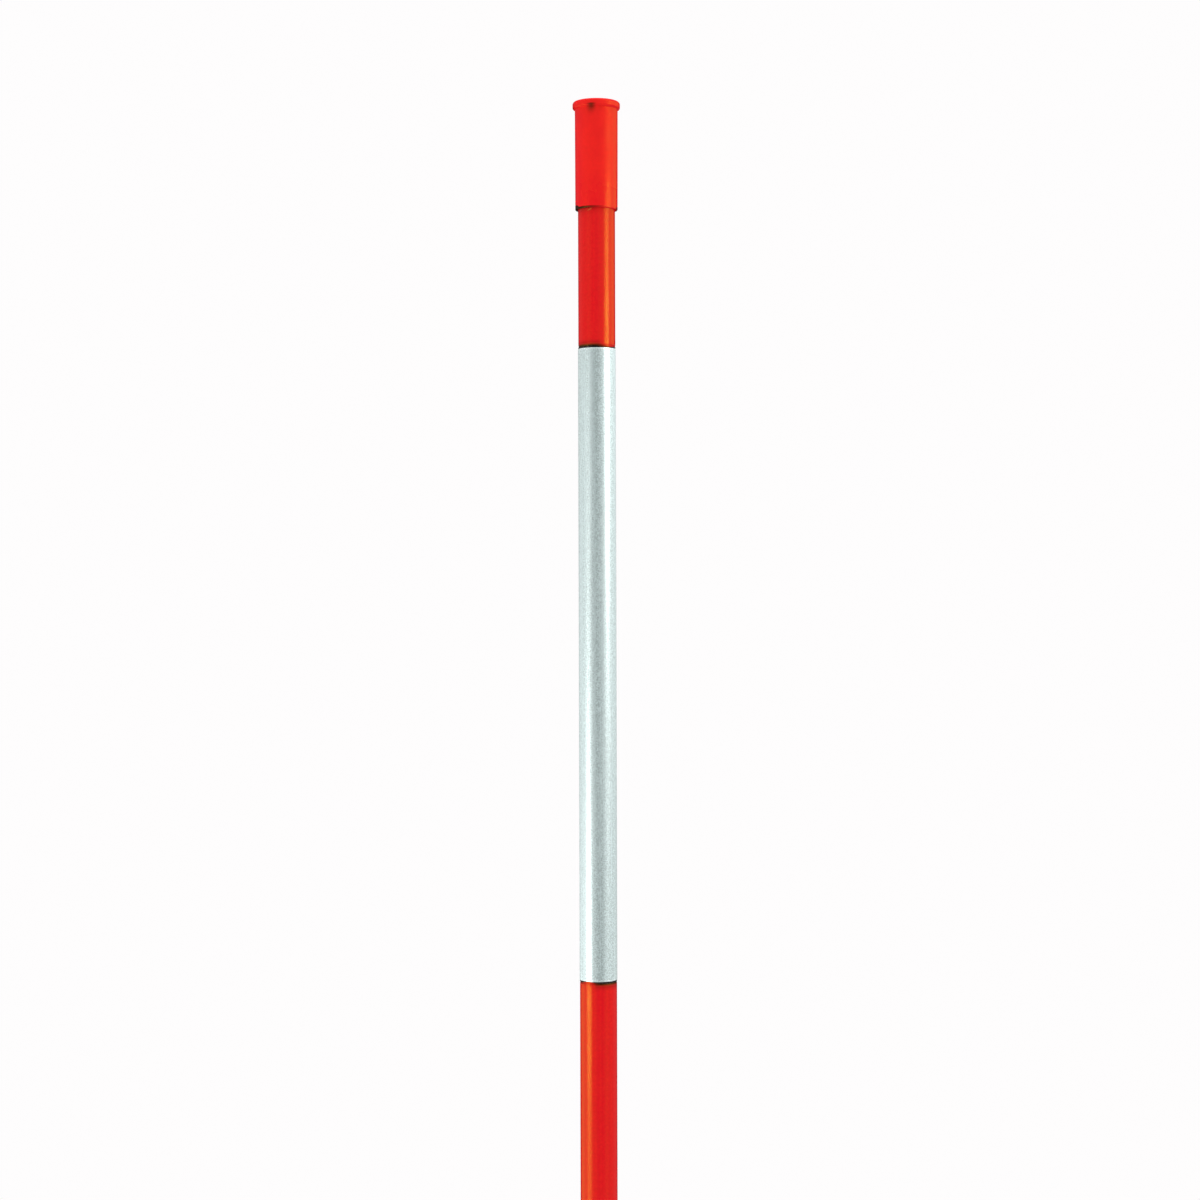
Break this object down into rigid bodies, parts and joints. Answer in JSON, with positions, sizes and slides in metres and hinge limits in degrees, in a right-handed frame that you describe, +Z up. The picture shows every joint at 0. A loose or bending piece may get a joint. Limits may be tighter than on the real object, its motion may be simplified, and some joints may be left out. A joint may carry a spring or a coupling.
{
  "type": "driveway snow marker",
  "caption": "Tall slim fibreglass rod with a ground point, a silver reflective band near the top and a push-on rimmed end cap.",
  "frame": {"origin": "centre of the ground point's flat tip, at the marker's lowest point", "axes": "+Z up along the rod to the cap, +Y towards the back, where the band's lapped seam is, and -Y the front"},
  "size_m": [0.0102, 0.0102, 1.2208],
  "materials": {
    "orange_rod": "gloss",
    "dark_adhesive": "gloss",
    "silver_reflective_film": "satin",
    "red_vinyl_cap": "satin"
  },
  "bodies": {
    "stake": {"fiberglass_rod": "orange_rod", "band_adhesive": "dark_adhesive", "reflective_film": "silver_reflective_film"},
    "cap": {"end_cap": "red_vinyl_cap"}
  },
  "joints": [
    {"name": "cap_pull", "type": "slide", "parent": "stake", "child": "cap", "axis": [0, 0, 1], "range_m": [0, 0.03]}
  ]
}
